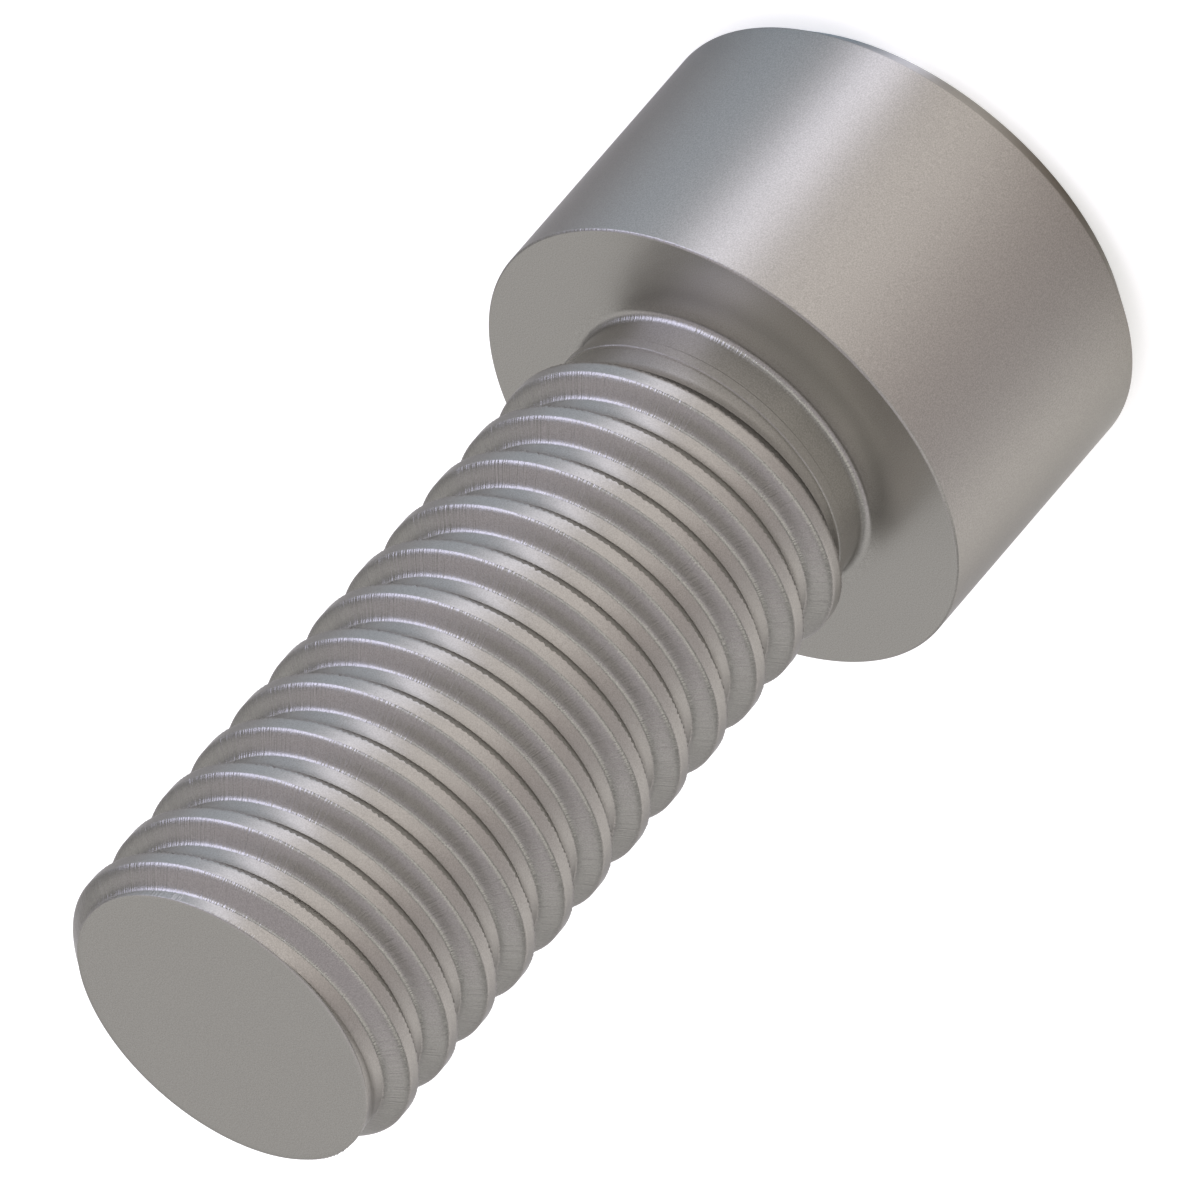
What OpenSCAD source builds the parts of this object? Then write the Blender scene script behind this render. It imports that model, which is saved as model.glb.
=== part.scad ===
// Socket head cap screw, standing on its head, tip up.
// The frame's origin is the centre of the bearing face under the head, and +Z runs to the tip.

/* [Thread] */
// Major diameter, over the crests
major_d = 7.9; // [7.2:0.05:8.6]
// Distance from one ridge to the next
pitch = 1.4111; // [1.2:0.01:1.6]
// Ridge height as a share of the pitch
depth_share = 0.31; // [0.2:0.01:0.4]
// Width of the flat crest as a share of the pitch
crest_share = 0.21; // [0.1:0.01:0.3]
// Width of each flank as a share of the pitch
flank_share = 0.27; // [0.2:0.01:0.3]
// Distance from the tip to the first crest on the front side
lead_in = 0.9; // [0.8:0.05:1.1]
// Part of a turn over which the ridge rises at the neck
runout = 0.45; // [0.25:0.05:0.6]

/* [Shank] */
// Length under the head
shank_l = 18.35; // [14:0.05:30]
// Length of the smooth neck under the head
neck_l = 0.78; // [0.6:0.02:1]
// Height of the low band between the neck and the thread
band_l = 0.25; // [0.15:0.01:0.35]
// How far the band stands out from the neck
band_rise = 0.07; // [0.03:0.01:0.12]
// Radius of the fillet under the head
fillet_r = 0.2; // [0.1:0.01:0.24]
// Height of the shallow cone that blends the fillet into the bearing face
blend_h = 0.02; // [0.01:0.005:0.05]
// Radial gap from the crests to the flat bearing ring, so that a ring that clears them seats on it
seat_gap = 0.02; // [0.02:0.01:0.2]

/* [Head] */
// Head diameter
head_d = 11.6; // [10.5:0.1:13]
// Head height
head_h = 7.05; // [6.6:0.05:8.5]
// Chamfer round the head's outer end
head_chamfer = 0.53; // [0.3:0.01:0.8]
// Edge break where the head's side meets the bearing face
edge_break = 0.04; // [0.02:0.01:0.1]

/* [Socket] */
// Width of the hex socket across its flats
socket_af = 6.35; // [5:0.05:6.4]
// Depth of the socket's straight walls
socket_depth = 4.1; // [3:0.05:4.2]
// How far the chamfer at the socket's mouth reaches past the flats
mouth_chamfer = 0.62; // [0.55:0.01:0.8]
// Radial gap from the socket's flats to the drill cone at its bottom
drill_gap = 0.08; // [0.05:0.01:0.2]
// Angle of the drill cone at the socket's bottom
drill_angle = 118; // [90:1:140]

/* [Fineness] */
// Facets round the thread
thread_facets = 60; // [36:12:84]

/* [Hidden] */
steel = [0.58, 0.57, 0.55];
// how far a cut starts outside the face that it enters
past = 1;
// a thread corner this close to an end plane is put on the plane
snap = 0.008;

crest_r = major_d / 2;
depth = pitch * depth_share;
root_r = crest_r - depth;
band_r = root_r + band_rise;
band_top = neck_l + band_l;
seat_r = crest_r + seat_gap;
fillet_top = blend_h + fillet_r;

// a ridge has four corners: its lower foot, both edges of its crest, and its upper foot
half_crest = pitch * crest_share / 2;
half_base = half_crest + pitch * flank_share;
corner_z = [-half_base, -half_crest, half_crest, half_base];
corner_out = [0, 1, 1, 0];

// the thread's solid starts inside the band, where station 0 is a whole turn below it
foot_z = band_top - band_l / 2;
start_z = foot_z - half_base - pitch;
// the angle at station 0 that puts a crest lead_in below the tip on the front, at -Y
start_angle = 270 - 360 * (shank_l - lead_in - start_z) / pitch;
// stations climb one pitch a turn, to a whole turn above the tip
stations = thread_facets * ceil((shank_l + half_base + pitch - start_z) / pitch) + 1;
// the ridge is whole from the station where its lower foot clears the band
whole_from = ceil(thread_facets * (band_top + half_base - start_z) / pitch);
rise_stations = thread_facets * runout;

// points are numbered foot ring first, then tip ring, both centres and each station's corners
tip_ring = thread_facets;
foot_centre = 2 * thread_facets;
tip_centre = foot_centre + 1;
first_corner = tip_centre + 1;

// The head, the blend and fillet under it, the neck and the band, turned in one
module head_and_neck() {
  rotate_extrude($fn = 96)
    difference() {
      polygon([
        [0, -head_h],
        [head_d / 2 - head_chamfer, -head_h],
        [head_d / 2, head_chamfer - head_h],
        [head_d / 2, -edge_break],
        [head_d / 2 - edge_break, 0],
        [seat_r, 0],
        [root_r + fillet_r, blend_h],
        [root_r + fillet_r, fillet_top],
        [root_r, fillet_top],
        [root_r, neck_l],
        [band_r, neck_l],
        [band_r, band_top],
        [0, band_top]
      ]);
      translate([root_r + fillet_r, fillet_top])
        circle(r = fillet_r, $fn = 32);
    }
}

// The hex socket, the drill cone at its bottom and the chamfer at its mouth
module socket_cut() {
  drill_r = socket_af / 2 - drill_gap;
  mouth_r = socket_af / 2 + mouth_chamfer;
  translate([0, 0, -head_h - past])
    cylinder(r = socket_af / sqrt(3), h = socket_depth + past, $fn = 6);
  translate([0, 0, socket_depth - head_h])
    cylinder(r1 = drill_r, r2 = 0, h = drill_r / tan(drill_angle / 2), $fn = 96);
  translate([0, 0, -head_h - past])
    cylinder(r1 = mouth_r + past, r2 = 0, h = mouth_r + past, $fn = 96);
}

function on_ring(r, i, z) =
  let (angle = start_angle + 360 * i / thread_facets)
  [r * cos(angle), r * sin(angle), z];

// how high the ridge stands at station i, eased in over the run-out
function ridge(i) =
  let (share = min(1, max(0, 1 + (i - whole_from) / rise_stations)))
  depth * share * share * (3 - 2 * share);

function z_at(i, corner) = start_z + pitch * i / thread_facets + corner_z[corner];

// near the tip no corner is farther out than the 45 degree chamfer there
function point_at(i, corner) =
  let (z = z_at(i, corner))
  on_ring(root_r + min(ridge(i) * corner_out[corner], shank_l - z), i, z);

// a corner's number, which is the end ring's own where the corner lies past that end
function number(i, corner) =
  let (z = z_at(i, corner), round = i % thread_facets)
  z < foot_z + snap ? round
  : z > shank_l - snap ? tip_ring + round
  : first_corner + 4 * i + corner;

// two triangles between stations i and i + 1, from one corner to the next one up,
// where the upper foot's next is the lower foot one turn on; those with no area are left out
function strip(i, corner) =
  let (
    up = corner < 3 ? [i, corner + 1] : [i + thread_facets, 0],
    a = number(i, corner),
    b = number(up[0], up[1]),
    c = number(up[0] + 1, up[1]),
    d = number(i + 1, corner)
  )
  [for (t = [[a, b, c], [a, c, d]]) if (t[0] != t[1] && t[1] != t[2] && t[2] != t[0]) t];

// The right-hand thread and its core, as one closed solid
module thread() {
  ring = [0:thread_facets - 1];
  corners = [0:3];
  points = concat(
    [for (i = ring) on_ring(root_r, i, foot_z)],
    [for (i = ring) on_ring(root_r, i, shank_l)],
    [[0, 0, foot_z], [0, 0, shank_l]],
    [for (i = [0:stations - 1], corner = corners) point_at(i, corner)]
  );
  sides = [
    for (i = [0:stations - 2 - thread_facets], corner = corners, t = strip(i, corner)) t
  ];
  ends = [
    for (i = ring, next = [(i + 1) % thread_facets])
      for (t = [[foot_centre, i, next], [tip_centre, tip_ring + next, tip_ring + i]]) t
  ];
  polyhedron(points = points, faces = concat(sides, ends), convexity = 10);
}

module screw() {
  color(steel)
    union() {
      difference() {
        head_and_neck();
        socket_cut();
      }
      thread();
    }
}

screw();
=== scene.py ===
"""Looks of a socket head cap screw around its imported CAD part: satin steel on a white floor."""

from math import atan2, ceil, cos, degrees, pi, radians, sin, tan
from random import Random

import bpy
from mathutils import Matrix, Vector


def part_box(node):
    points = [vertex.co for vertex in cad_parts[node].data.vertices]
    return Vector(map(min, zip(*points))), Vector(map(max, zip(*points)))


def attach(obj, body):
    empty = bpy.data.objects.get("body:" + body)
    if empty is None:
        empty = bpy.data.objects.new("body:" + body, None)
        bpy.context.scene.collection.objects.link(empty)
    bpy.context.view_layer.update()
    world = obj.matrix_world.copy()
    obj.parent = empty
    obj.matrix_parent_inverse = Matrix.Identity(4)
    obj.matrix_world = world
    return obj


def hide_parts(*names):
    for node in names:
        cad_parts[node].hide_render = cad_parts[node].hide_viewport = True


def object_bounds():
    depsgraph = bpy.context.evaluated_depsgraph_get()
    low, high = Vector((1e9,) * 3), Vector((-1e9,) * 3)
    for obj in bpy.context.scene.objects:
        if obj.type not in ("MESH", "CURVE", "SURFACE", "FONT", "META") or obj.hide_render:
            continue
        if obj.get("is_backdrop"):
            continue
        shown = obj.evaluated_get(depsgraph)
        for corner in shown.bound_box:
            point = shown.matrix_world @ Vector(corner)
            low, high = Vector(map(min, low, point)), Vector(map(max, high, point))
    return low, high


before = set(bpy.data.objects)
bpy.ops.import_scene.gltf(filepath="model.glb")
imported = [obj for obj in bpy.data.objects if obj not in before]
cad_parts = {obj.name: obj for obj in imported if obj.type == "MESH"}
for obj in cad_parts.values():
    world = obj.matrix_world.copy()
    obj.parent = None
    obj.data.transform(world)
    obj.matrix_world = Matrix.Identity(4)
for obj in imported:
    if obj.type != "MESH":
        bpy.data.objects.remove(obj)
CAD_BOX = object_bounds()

MM = 0.001

# Sizes of the part, in millimetres, as its source has them
LOW, HIGH = (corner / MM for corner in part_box("screw"))
HEAD_R = HIGH.x
HEAD_TOP = LOW.z
TIP = HIGH.z
HEAD_CHAMFER = 0.53
EDGE_BREAK = 0.04
CREST_R = 3.95
PITCH = 1.4111
DEPTH_SHARE = 0.31
CREST_SHARE = 0.21
FLANK_SHARE = 0.27
LEAD_IN = 0.9
RUNOUT = 0.45
NECK = 0.78
BAND_L = 0.25
BAND_RISE = 0.07
FILLET_R = 0.2
BLEND_H = 0.02
SEAT_GAP = 0.02
SOCKET_FLAT = 3.175
SOCKET_DEPTH = 4.1
MOUTH_CHAMFER = 0.62
DRILL_GAP = 0.08
DRILL_ANGLE = 118

# What follows from them
DEPTH = DEPTH_SHARE * PITCH
HALF_CREST = CREST_SHARE * PITCH / 2
HALF_BASE = HALF_CREST + FLANK_SHARE * PITCH
ROOT_R = CREST_R - DEPTH
BAND_TOP = NECK + BAND_L
BAND_R = ROOT_R + BAND_RISE
SEAT_R = CREST_R + SEAT_GAP
MOUTH_R = SOCKET_FLAT + MOUTH_CHAMFER
DRILL_R = SOCKET_FLAT - DRILL_GAP
DRILL_SLOPE = tan(radians(DRILL_ANGLE / 2))
# Degrees round the axis to one side of the hex
HEX_TURN = 60

# Softness of the edges, in millimetres
RIDGE_ROUND = 0.03
TIP_ROUND = 0.03
BAND_ROUND = 0.02
HEAD_ROUND = 0.06
BREAK_ROUND = 0.03
SEAT_ROUND = 0.015
CHAMFER_BLEND = 0.05
# The flat tip's outer ring, a little inside its soft edge
RIM_R = ROOT_R - 3 * TIP_ROUND
# How far the flanks towards the tip bend, from straight (0) to a full S between crest and root (1)
FLANK_BEND = 0.65

# The ridge's four edges, at its crest and its root, on the side towards the tip and towards the head
TIP_CREST, TIP_ROOT, HEAD_CREST, HEAD_ROOT = 1, 2, 3, 4
# How far each of them strays along the axis, in millimetres, and the least of it as a share of the most
EDGE_WOBBLE = {TIP_CREST: 0.008, TIP_ROOT: 0.008, HEAD_CREST: 0.028, HEAD_ROOT: 0.008}
LEAST_WOBBLE = 0.2

# Fineness: columns of points round the axis, and the one on the front side, at -Y
COLUMNS = 336
STEP_ANGLE = 2 * pi / COLUMNS
FRONT = 3 * COLUMNS // 4
ARC_STEPS = 2
RIDGE_ARC_STEPS = 1
FLANK_STEPS = 8
BAND_STEPS = 6
# Degrees between the fillet's rings
FILLET_STEP = 15
# An edge between faces that turn by more than this is sharp
SHARP = radians(28)
# A point of the thread this close to the ring at its end, in millimetres, folds onto the ring
SNAP = 0.004
# Two points of one column have a cross product below this. Such an edge of the thread stays smooth
SAME_COLUMN = 1e-9


def clamp(value):
    return min(1.0, max(0.0, value))


def soft_min(a, b, blend):
    """The lower of two values, rounded off over a short distance where they cross."""
    share = clamp(0.5 + 0.5 * (b - a) / blend)
    return b + (a - b) * share - blend * share * (1 - share)


def ridge_rows(bend, steps, crest_edge, root_edge):
    """Half a ridge, from its centre out.

    Each row is a distance along the axis, a share of the ridge's depth, and its edge, if it is on one.
    """
    run = HALF_BASE - HALF_CREST
    slope = atan2(DEPTH * (1 - bend), run)
    reach = RIDGE_ROUND * tan(slope / 2)
    rows = [(0.0, 1.0, None), (HALF_CREST / 2, 1.0, None)]
    for k in range(RIDGE_ARC_STEPS):
        turn = slope * k / RIDGE_ARC_STEPS
        far = HALF_CREST - reach + RIDGE_ROUND * sin(turn)
        rows.append((far, 1 - RIDGE_ROUND * (1 - cos(turn)) / DEPTH, crest_edge))
    first = reach * cos(slope) / run
    edges = [crest_edge] + [None] * (steps - 1) + [root_edge]
    for k, edge in enumerate(edges):
        t = first + (1 - 2 * first) * k / steps
        bent = t * t * (3 - 2 * t)
        rows.append((HALF_CREST + run * t, 1 - t - (bent - t) * bend, edge))
    for k in range(RIDGE_ARC_STEPS):
        turn = slope * (RIDGE_ARC_STEPS - 1 - k) / RIDGE_ARC_STEPS
        far = HALF_BASE + reach - RIDGE_ROUND * sin(turn)
        rows.append((far, RIDGE_ROUND * (1 - cos(turn)) / DEPTH, root_edge))
    return rows + [(PITCH / 2, 0.0, None)]


TIP_SIDE = ridge_rows(FLANK_BEND, FLANK_STEPS, TIP_CREST, TIP_ROOT)
HEAD_SIDE = ridge_rows(0, 1, HEAD_CREST, HEAD_ROOT)
ROWS = [(-far, share, edge) for far, share, edge in reversed(HEAD_SIDE[1:])] + TIP_SIDE


def ridge_share(height):
    """The ridge's share of its depth at a height above the nearest ridge's centre."""
    for (low, a, _), (high, b, _) in zip(ROWS, ROWS[1:]):
        if height <= high:
            return a + (b - a) * (height - low) / (high - low)
    return 0.0


def wobble(edge, column):
    """How far an edge of the ridge strays along the axis at a column, to and fro in turn."""
    if edge is None:
        return 0
    way = 1 if column % 2 else -1
    return way * EDGE_WOBBLE[edge] * Random(edge + 10 * column).uniform(LEAST_WOBBLE, 1)


def ridge_centre(column):
    """Height of the ridge's centre at a column, counted on through the turns."""
    return TIP - LEAD_IN + PITCH * (column - FRONT) / COLUMNS


def risen(centre):
    """How far the ridge has risen out of the shank where its centre is at this height."""
    share = clamp(1 + (centre - BAND_TOP - HALF_BASE) / (PITCH * RUNOUT))
    return share * share * (3 - 2 * share)


def thread_r(centre, share, z):
    """The thread's radius for a ridge centre, a share of its depth and a height."""
    ridge = ROOT_R + DEPTH * share * risen(centre)
    chamfer = ROOT_R + TIP - z + CHAMFER_BLEND / 4
    return soft_min(ridge, chamfer, CHAMFER_BLEND)


def surface_r(column, z):
    """The thread's radius at any height of a column."""
    turns = round((z - ridge_centre(column)) / PITCH)
    centre = ridge_centre(column + turns * COLUMNS)
    return thread_r(centre, ridge_share(z - centre), z)


class Skin:
    """Points and faces of one mesh. A ring is one point number for each column."""

    def __init__(self):
        self.points = []
        self.faces = []

    def point(self, r, column, z):
        angle = STEP_ANGLE * column
        self.points.append((r * cos(angle) * MM, r * sin(angle) * MM, z * MM))
        return len(self.points) - 1

    def ring(self, radius, z):
        """A ring at one height. Its radius is a number, or a function of the column."""
        at = radius if callable(radius) else lambda column: radius
        return [self.point(at(c), c, z) for c in range(COLUMNS)]

    def face(self, *corners):
        """A face whose corners may fall together. It is left out where fewer than three are left."""
        kept = [c for n, c in enumerate(corners) if c != corners[n - 1]]
        if len(set(kept)) > 2:
            self.faces.append(kept)

    def join(self, low, high):
        """Faces between two rings, facing out where high is above low."""
        for c in range(COLUMNS):
            d = (c + 1) % COLUMNS
            self.face(low[c], low[d], high[d], high[c])

    def stack(self, rings):
        for low, high in zip(rings, rings[1:]):
            self.join(low, high)

    def cap(self, ring, z, up):
        """A fan from a ring to a point on the axis, facing up or down."""
        centre = self.point(0, 0, z)
        for c in range(COLUMNS):
            pair = (ring[c], ring[(c + 1) % COLUMNS])
            self.face(centre, *(pair if up else reversed(pair)))


def soften(corners):
    """Points of an outline with an arc at each rounded corner. Corners are (radius, height, rounding)."""
    out = []
    for n, (r, z, rounding) in enumerate(corners):
        if not rounding:
            out.append((r, z))
            continue
        here = Vector((r, z))
        back = (Vector(corners[n - 1][:2]) - here).normalized()
        ahead = (Vector(corners[n + 1][:2]) - here).normalized()
        half = back.angle(ahead) / 2
        reach = rounding / tan(half)
        centre = here + (back + ahead).normalized() * (rounding / sin(half))
        start, end = here + back * reach - centre, here + ahead * reach - centre
        # a point a little past each end of the arc keeps the soft shading close to the arc
        past = reach + rounding / 2
        out.append(tuple(here + back * past))
        for k in range(ARC_STEPS + 1):
            out.append(tuple(centre + start.lerp(end, k / ARC_STEPS).normalized() * rounding))
        out.append(tuple(here + ahead * past))
    return out


def head_outline():
    """Head top to neck: from the socket's mouth out, up the side and in along the bearing face."""
    fillet = [
        (ROOT_R + FILLET_R * (1 - cos(radians(a))), BLEND_H + FILLET_R * (1 - sin(radians(a))))
        for a in range(90, -1, -FILLET_STEP)
    ]
    return soften([
        (MOUTH_R, HEAD_TOP, 0),
        (HEAD_R - HEAD_CHAMFER, HEAD_TOP, HEAD_ROUND),
        (HEAD_R, HEAD_TOP + HEAD_CHAMFER, HEAD_ROUND),
        (HEAD_R, -EDGE_BREAK, BREAK_ROUND),
        (HEAD_R - EDGE_BREAK, 0, SEAT_ROUND),
        (SEAT_R, 0, 0),
    ]) + fillet


def build_socket(skin, mouth):
    """The socket's mouth cone, hex walls, flat rim and drill cone, from the mouth's ring."""
    def wall(column):
        off = degrees(STEP_ANGLE * column) % HEX_TURN - HEX_TURN / 2
        return SOCKET_FLAT / cos(radians(off))

    edge = [skin.point(wall(c), c, HEAD_TOP + MOUTH_R - wall(c)) for c in range(COLUMNS)]
    floor_z = HEAD_TOP + SOCKET_DEPTH
    foot = skin.ring(wall, floor_z)
    drill = skin.ring(DRILL_R, floor_z)
    skin.stack([drill, foot, edge, mouth])
    skin.cap(drill, floor_z + DRILL_R / DRILL_SLOPE, up=False)


def build_band(skin):
    """Rings of the neck and the band, and the inner edge of the band's top face."""
    def ring(r, z):
        """A ring that follows the ridge where the ridge stands out past this radius."""
        return skin.ring(lambda c: max(r, surface_r(c, z)), z)

    inset = BAND_R - BAND_ROUND
    straight = BAND_TOP - NECK - 2 * BAND_ROUND
    neck = [skin.ring(ROOT_R, NECK - BAND_ROUND), skin.ring(ROOT_R, NECK)]
    side = [ring(inset, NECK)]
    side += [ring(BAND_R, NECK + BAND_ROUND + straight * k / BAND_STEPS) for k in range(BAND_STEPS + 1)]
    side += [ring(inset, BAND_TOP)]
    # the band's top face ends where the ridge has risen past the band's own edge
    foot = [surface_r(c, BAND_TOP) for c in range(COLUMNS)]
    inner = [side[-1][c] if r >= inset else skin.point(r, c, BAND_TOP) for c, r in enumerate(foot)]
    return neck + side + [inner]


def build_tip(skin):
    """Rings of the soft edge round the tip, from the end of the thread up."""
    low_z = TIP - TIP_ROUND
    rings = []
    for k in range(ARC_STEPS + 1):
        turn = pi / 2 * k / ARC_STEPS
        inward = TIP_ROUND * (1 - cos(turn))
        rings.append(skin.ring(lambda c: surface_r(c, low_z) - inward, low_z + TIP_ROUND * sin(turn)))
    return rings


def build_thread(skin, low, high):
    """The helical surface between two rings. Points below or above them fold onto them."""
    low_z, high_z = BAND_TOP, TIP - TIP_ROUND
    rows = len(ROWS) - 1
    # the columns start a turn or more below the lower ring and end past the upper one
    first = FRONT - COLUMNS * ceil((TIP - LEAD_IN - low_z) / PITCH + 1)
    last = FRONT + COLUMNS * 2
    made = {}

    def number(column, row):
        if row == rows:
            column, row = column + COLUMNS, 0
        up, share, edge = ROWS[row]
        centre = ridge_centre(column)
        z = centre + up + wobble(edge, column)
        if z < low_z + SNAP:
            return low[column % COLUMNS]
        if z > high_z - SNAP:
            return high[column % COLUMNS]
        if (column, row) not in made:
            made[column, row] = skin.point(thread_r(centre, share, z), column, z)
        return made[column, row]

    for column in range(first, last):
        for row in range(rows):
            below = (number(column, row), number(column + 1, row))
            above = (number(column + 1, row + 1), number(column, row + 1))
            skin.face(*below, *above)


def build_skin():
    """The whole screw's points and faces, as one closed surface."""
    skin = Skin()
    head = [skin.ring(r, z) for r, z in head_outline()]
    build_socket(skin, head[0])
    band = build_band(skin)
    skin.stack(head + band)
    tip = build_tip(skin)
    build_thread(skin, band[-1], tip[0])
    rim = skin.ring(RIM_R, TIP)
    skin.stack(tip + [rim])
    skin.cap(rim, TIP, up=True)
    used = {v for f in skin.faces for v in f}
    assert len(used) == len(skin.points), "stray points"
    return skin


def build_screw():
    """The screw's object, smooth but for its sharp edges."""
    skin = build_skin()
    mesh = bpy.data.meshes.new("screw_surface")
    mesh.from_pydata(skin.points, [], skin.faces)
    mesh.shade_smooth()
    mesh.set_sharp_from_angle(angle=SHARP)
    for edge in mesh.edges:
        a, b = (mesh.vertices[n].co for n in edge.vertices)
        if min(a.z, b.z) > 0 and abs(a.x * b.y - a.y * b.x) < SAME_COLUMN:
            edge.use_edge_sharp = False
    mesh.update()
    made = bpy.data.objects.new("screw_surface", mesh)
    bpy.context.scene.collection.objects.link(made)
    return made


# Materials

class Graph:
    """The node tree of a new material or world, with short calls to add nodes and links."""

    def __init__(self, name, kind="materials"):
        self.made = getattr(bpy.data, kind).new(name)
        self.made.use_nodes = True
        self.tree = self.made.node_tree
        self.tree.nodes.clear()

    def add(self, kind, **settings):
        """A node. A setting is one of its own, or else the value of the socket with that name."""
        node = self.tree.nodes.new(kind)
        for key, value in settings.items():
            if hasattr(node, key):
                setattr(node, key, value)
            else:
                node.inputs[key.replace("_", " ")].default_value = value
        return node

    def link(self, source, target):
        self.tree.links.new(source, target)

    def math(self, operation, *values, kind="ShaderNodeMath"):
        """A math node. Each value is a number, a vector or another node's output."""
        node = self.add(kind, operation=operation)
        for value, socket in zip(values, node.inputs):
            if isinstance(value, bpy.types.NodeSocket):
                self.link(value, socket)
            else:
                socket.default_value = value
        return node

    def vector(self, operation, *values):
        return self.math(operation, *values, kind="ShaderNodeVectorMath")


STEEL_COLOR = (0.31, 0.298, 0.28)
# The grain's spots to a metre, the noise levels between which it goes from dark to light, how far it
# darkens and lightens the colour, and the height and strength of its bump
GRAIN_SCALE = 34000.0
GRAIN_LEVELS = (0.3, 0.7)
GRAIN_DARK = 0.86
GRAIN_LIGHT = 1.14
GRAIN_HEIGHT = 0.000003
GRAIN_STRENGTH = 0.25
# Clouds of roughness: their size, as spots to a metre, and the roughness between which they drift
CLOUD_SCALE = 900.0
ROUGH_LOW = 0.26
ROUGH_HIGH = 0.34
# Marks on the flanks: how many to a radian round the axis, how many to a metre along it, and their bump
MARKS_ROUND = 90.0
MARKS_ALONG = 1700.0
MARKS_HEIGHT = 0.00003
MARKS_STRENGTH = 0.5
# A flank that faces the tip has this height in its normal, give or take the second number
FLANK_RISE = 0.5
FLANK_MARGIN = 0.38
# How much of the usual glow is left at the edges that turn away from the eye
EDGE_TINT = (0.55, 0.55, 0.55, 1)


def steel():
    """Satin steel: a fine even grain over slightly uneven roughness, and marks on the flanks."""
    g = Graph("satin_steel")
    out = g.add("ShaderNodeOutputMaterial")
    shader = g.add("ShaderNodeBsdfPrincipled", Metallic=1.0, Specular_Tint=EDGE_TINT)
    where = g.add("ShaderNodeTexCoord")
    grain = g.add("ShaderNodeTexNoise", Scale=GRAIN_SCALE, Detail=1.0, Roughness=0.6)
    speckle = g.add("ShaderNodeMapRange", data_type="FLOAT_VECTOR")
    # the node's vector sockets: the value, the two ends it comes from and the two ends it goes to
    noise, *ends = speckle.inputs[6:11]
    levels = [[level] * 3 for level in GRAIN_LEVELS]
    colors = [[share * c for c in STEEL_COLOR] for share in (GRAIN_DARK, GRAIN_LIGHT)]
    for socket, value in zip(ends, levels + colors):
        socket.default_value = value
    g.link(grain.outputs["Fac"], noise)
    g.link(speckle.outputs["Vector"], shader.inputs["Base Color"])
    cloud = g.add("ShaderNodeTexNoise", Scale=CLOUD_SCALE, Detail=3.0, Roughness=0.5)
    for texture in (grain, cloud):
        g.link(where.outputs["Object"], texture.inputs["Vector"])
    rough = g.add("ShaderNodeMapRange", To_Min=ROUGH_LOW, To_Max=ROUGH_HIGH)
    g.link(cloud.outputs["Fac"], rough.inputs["Value"])
    g.link(rough.outputs["Result"], shader.inputs["Roughness"])

    # the flanks' marks run from crest to root, so they change quickly round the axis and slowly along it
    flat = g.vector("MULTIPLY", where.outputs["Object"], (1, 1, 0))
    outward = g.vector("NORMALIZE", flat.outputs["Vector"])
    turned = g.vector("SCALE", outward.outputs["Vector"])
    turned.inputs["Scale"].default_value = MARKS_ROUND
    along = g.vector("MULTIPLY", where.outputs["Object"], (0, 0, MARKS_ALONG))
    spot = g.vector("ADD", turned.outputs["Vector"], along.outputs["Vector"])
    marks = g.add("ShaderNodeTexNoise", Scale=1.0, Detail=1.0, Roughness=0.5)
    g.link(spot.outputs["Vector"], marks.inputs["Vector"])
    parts = g.add("ShaderNodeSeparateXYZ")
    g.link(where.outputs["Normal"], parts.inputs["Vector"])
    flank = g.math("COMPARE", parts.outputs["Z"], FLANK_RISE, FLANK_MARGIN)
    strength = g.math("MULTIPLY", flank.outputs[0], MARKS_STRENGTH)

    marked = g.add("ShaderNodeBump", Distance=MARKS_HEIGHT)
    g.link(marks.outputs["Fac"], marked.inputs["Height"])
    g.link(strength.outputs[0], marked.inputs["Strength"])
    bump = g.add("ShaderNodeBump", Strength=GRAIN_STRENGTH, Distance=GRAIN_HEIGHT)
    g.link(grain.outputs["Fac"], bump.inputs["Height"])
    g.link(marked.outputs["Normal"], bump.inputs["Normal"])
    g.link(bump.outputs["Normal"], shader.inputs["Normal"])
    g.link(shader.outputs["BSDF"], out.inputs["Surface"])
    return g.made


# Stage, lights and camera

# The floor's half side and its gap below the head's top face, in millimetres
FLOOR_HALF = 3000
FLOOR_GAP = 0.002
FLOOR_COLOR = (0.80, 0.795, 0.785, 1)
# The floor's own glow to the camera, which lifts the lit floor to white
FLOOR_GLOW = 0.52
# Metal sees painted pools of light on the floor, which spread from this point, in millimetres: a glow
# that no lamp casts and only reflections see
PAINTED_POOL_CENTRE = (0.4, -3.5)
# Each painted pool's azimuth, power of the cosine away from it, and colour
PAINTED_POOLS = (
    (54, 30.0, (1.20, 1.24, 1.48)),
    (14, 3.2, (0.72, 0.675, 0.61)),
    (-45, 4.0, (0.09, 0.045, 0.0)),
    (92, 8.0, (0.11, 0.23, 0.33)),
    (-113, 8.0, (0.71, 0.69, 0.65)),
    (168, 10.0, (0.32, 0.32, 0.32)),
    (-172, 16.0, (0.55, 0.54, 0.52)),
)
# The sky's brightness, and its brightness by way of a second reflection in the screw
SKY = 0.45
SKY_IN_METAL = 1.5
# Each softbox's azimuth, elevation, width and height in degrees, its brightness and its colour
SOFTBOXES = {
    "back_softbox": (188, 32, 92, 50, 0.57, (1, 1, 1)),
    "side_softbox": (78, 17, 52, 32, 2.4, (0.84, 0.86, 1.20)),
    "top_softbox": (90, 90, 100, 80, 0.40, (1.06, 0.94, 1.09)),
    "front_softbox": (28, 32, 84, 22, 0.9, (1, 1, 1)),
    "right_softbox": (-56, 32, 80, 22, 0.9, (1.0, 1.0, 0.93)),
}
# The softboxes' distance, in metres
LAMP_DISTANCE = 2.5


def toward(azimuth, elevation):
    """A direction from the screw. Azimuth 0 is the camera's side, at -Y, and it grows towards +X."""
    a, e = radians(azimuth), radians(elevation)
    return Vector((sin(a) * cos(e), -cos(a) * cos(e), sin(e)))


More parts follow.
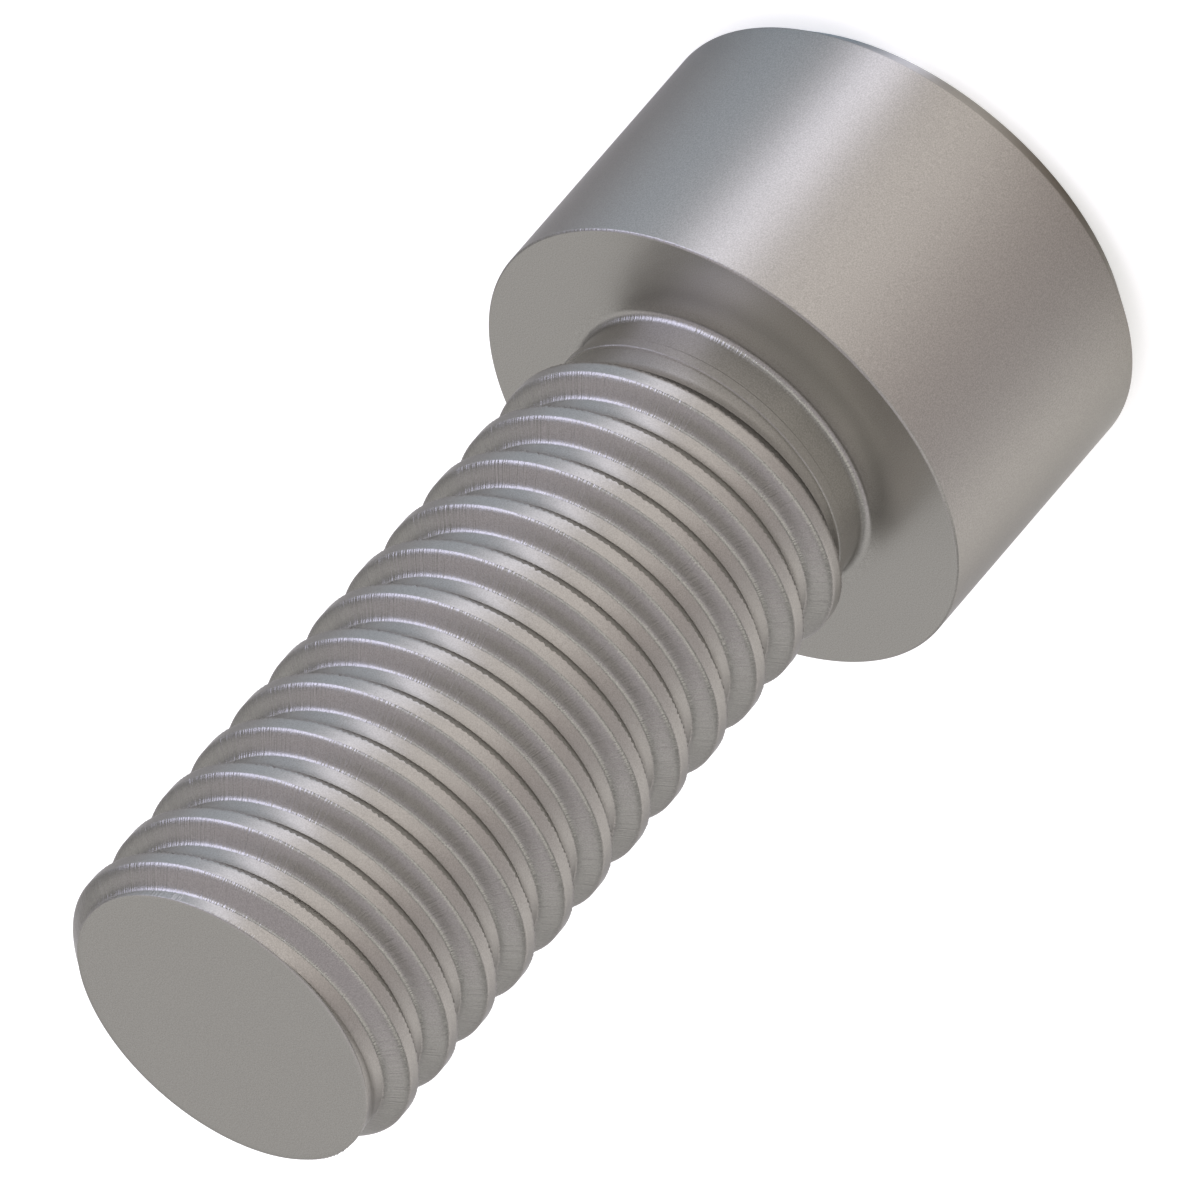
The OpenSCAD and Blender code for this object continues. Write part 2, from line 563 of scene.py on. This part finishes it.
def floor_paint():
    """White to the camera, with the screw's shadow. Metal sees painted pools of light on it, a glow that
    only reflections see.
    """
    g = Graph("white_floor")
    rays = g.add("ShaderNodeLightPath")
    paint = g.add("ShaderNodeBsdfDiffuse", Color=FLOOR_COLOR)

    seen = g.math("MAXIMUM", rays.outputs["Is Camera Ray"], rays.outputs["Is Transmission Ray"])
    level = g.math("MULTIPLY", seen.outputs[0], FLOOR_GLOW)
    white = g.add("ShaderNodeEmission", Color=(1, 1, 1, 1))
    g.link(level.outputs[0], white.inputs["Strength"])

    where = g.add("ShaderNodeTexCoord")
    centre = (PAINTED_POOL_CENTRE[0] * MM, PAINTED_POOL_CENTRE[1] * MM, HEAD_TOP * MM)
    away = g.vector("SUBTRACT", where.outputs["Object"], centre)
    outward = g.vector("NORMALIZE", away.outputs["Vector"])
    # the painted pools: a glow by azimuth on the floor that stands in for light in the metal's
    # reflections
    light = (0, 0, 0)
    for azimuth, power, color in PAINTED_POOLS:
        facing = g.vector("DOT_PRODUCT", outward.outputs["Vector"], tuple(toward(azimuth, 0)))
        side = g.math("MAXIMUM", facing.outputs["Value"], 0.0)
        share = g.math("POWER", side.outputs[0], power)
        tint = g.vector("SCALE", color)
        g.link(share.outputs[0], tint.inputs["Scale"])
        light = g.vector("ADD", light, tint.outputs["Vector"]).outputs["Vector"]
    # painted light: this emission is seen only by glossy rays, so it shows only as reflections in the
    # metal
    pools = g.add("ShaderNodeEmission")
    g.link(light, pools.inputs["Color"])
    g.link(rays.outputs["Is Glossy Ray"], pools.inputs["Strength"])

    total = paint.outputs["BSDF"]
    for part in (white, pools):
        both = g.add("ShaderNodeAddShader")
        g.link(total, both.inputs[0])
        g.link(part.outputs["Emission"], both.inputs[1])
        total = both.outputs["Shader"]
    out = g.add("ShaderNodeOutputMaterial")
    g.link(total, out.inputs["Surface"])
    return g.made


def floor():
    """A flat floor that the head's top face stands on, with a hair's gap to keep the two faces apart."""
    half, z = FLOOR_HALF * MM, (HEAD_TOP - FLOOR_GAP) * MM
    corners = [(-half, -half, z), (half, -half, z), (half, half, z), (-half, half, z)]
    mesh = bpy.data.meshes.new("floor")
    mesh.from_pydata(corners, [], [(0, 1, 2, 3)])
    mesh.materials.append(floor_paint())
    made = bpy.data.objects.new("floor", mesh)
    bpy.context.scene.collection.objects.link(made)
    made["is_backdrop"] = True


def softbox(name, azimuth, elevation, width, height, radiance, color):
    """A rectangular lamp that faces the screw, as wide and high from there as its angles in degrees."""
    data = bpy.data.lights.new(name, "AREA")
    data.shape = "RECTANGLE"
    data.size = 2 * LAMP_DISTANCE * tan(radians(width / 2))
    data.size_y = 2 * LAMP_DISTANCE * tan(radians(height / 2))
    data.energy = radiance * pi * data.size * data.size_y
    data.color = color
    lamp = bpy.data.objects.new(name, data)
    lamp.location = toward(azimuth, elevation) * LAMP_DISTANCE
    lamp.rotation_mode = "QUATERNION"
    lamp.rotation_quaternion = toward(azimuth, elevation).to_track_quat("Z", "Y")
    bpy.context.scene.collection.objects.link(lamp)


def sky():
    """An even sky, brighter to metal that shows in metal: the neck would be too dark without that."""
    g = Graph("sky", "worlds")
    rays = g.add("ShaderNodeLightPath")
    # a ray's glossy depth is 1 after one reflection and 2 after the second
    second = g.math("GREATER_THAN", rays.outputs["Glossy Depth"], 1.5)
    level = g.math("MULTIPLY_ADD", second.outputs[0], SKY_IN_METAL - SKY, SKY)
    air = g.add("ShaderNodeBackground", Color=(1, 1, 1, 1))
    g.link(level.outputs[0], air.inputs["Strength"])
    out = g.add("ShaderNodeOutputWorld")
    g.link(air.outputs["Background"], out.inputs["Surface"])
    bpy.context.scene.world = g.made


# The view's elevation and the angle of the screw's axis across the image, in degrees
VIEW_ELEVATION = 31.84
AXIS_IN_IMAGE = 49.2
# The width that the image takes in, and the point it looks at above and beside the bearing face's centre
FRAME_WIDTH = 24.556
AIM_HEIGHT = 4.724
AIM_SIDE = -0.15
LENS = 1200.0
SENSOR = 36.0


def camera():
    """The photo's view: from the tip's side, turned so that the tip points down to the left."""
    back = toward(0, VIEW_ELEVATION)
    along = Vector((0, -sin(radians(VIEW_ELEVATION)), -cos(radians(VIEW_ELEVATION))))
    across = along.cross(back)
    turn = radians(AXIS_IN_IMAGE)
    right = along * cos(turn) + across * sin(turn)
    up = along * sin(turn) - across * cos(turn)
    data = bpy.data.cameras.new("camera")
    data.sensor_width = SENSOR
    data.lens = LENS
    distance = FRAME_WIDTH * LENS / SENSOR * MM
    aim = Vector((AIM_SIDE, 0, AIM_HEIGHT)) * MM
    data.clip_start, data.clip_end = distance / 10, distance * 10
    eye = bpy.data.objects.new("camera", data)
    axes = Matrix((right, up, back)).transposed().to_4x4()
    eye.matrix_world = Matrix.Translation(aim + back * distance) @ axes
    bpy.context.scene.collection.objects.link(eye)
    bpy.context.scene.camera = eye


screw = build_screw()
satin = steel()
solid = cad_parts["screw"]
solid.data.materials.clear()
for piece in (screw, solid):
    piece.data.materials.append(satin)
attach(screw, "root")
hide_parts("screw")
floor()
for name, numbers in SOFTBOXES.items():
    softbox(name, *numbers)
sky()
camera()
bpy.context.scene.view_settings.view_transform = "Standard"

boxes = {
    name: [list(corner) for corner in box]
    for name, box in (("cad", CAD_BOX), ("visual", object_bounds()))
}
